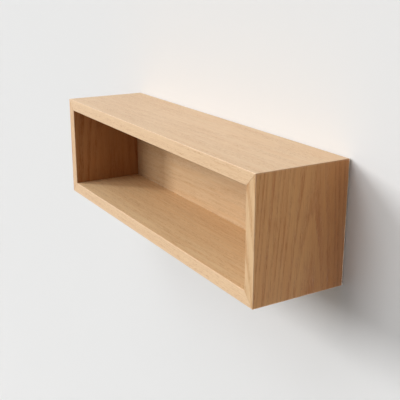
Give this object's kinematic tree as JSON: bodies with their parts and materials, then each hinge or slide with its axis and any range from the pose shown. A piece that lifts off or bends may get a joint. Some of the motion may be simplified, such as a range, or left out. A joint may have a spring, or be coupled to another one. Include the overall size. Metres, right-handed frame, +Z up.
{
  "type": "wall shelf",
  "caption": "Open-fronted oak box shelf with mitred corners and an inset back panel, hooked over a hidden aluminium wall rail.",
  "frame": {"origin": "on the wall's surface, midway along the shelf, on the line of the wall screws", "axes": "+X along the shelf to the right as seen from the front, +Y into the wall, +Z up"},
  "size_m": [0.6, 0.1897, 0.175],
  "materials": {
    "oak": "light natural oak, oiled matt",
    "oak_back": "oak-veneered panel, oiled matt",
    "beech": "compressed beech, raw",
    "aluminium": "extruded, mill finish",
    "zinc": "bright zinc plate",
    "nylon": "grey moulded nylon",
    "pad_felt": "grey pressed felt"
  },
  "bodies": {
    "wall_mount": {"wall_rail": "aluminium", "wall_screw_1": "zinc", "wall_screw_2": "zinc", "wall_screw_3": "zinc", "wall_plug_1": "nylon", "wall_plug_2": "nylon", "wall_plug_3": "nylon"},
    "shelf": {"top_board": "oak", "bottom_board": "oak", "left_side_board": "oak", "right_side_board": "oak", "back_panel": "oak_back", "biscuit_top_left_1": "beech", "biscuit_top_left_2": "beech", "biscuit_top_right_1": "beech", "biscuit_top_right_2": "beech", "biscuit_bottom_left_1": "beech", "biscuit_bottom_left_2": "beech", "biscuit_bottom_right_1": "beech", "biscuit_bottom_right_2": "beech", "hanging_angle": "aluminium", "angle_screw_1": "zinc", "angle_screw_2": "zinc", "angle_screw_3": "zinc", "angle_screw_4": "zinc", "wall_pad_left": "pad_felt", "wall_pad_right": "pad_felt"}
  },
  "joints": [
    {"name": "lift_off", "type": "slide", "parent": "wall_mount", "child": "shelf", "axis": [0, 0, 1], "range_m": [0, 0.012]}
  ]
}
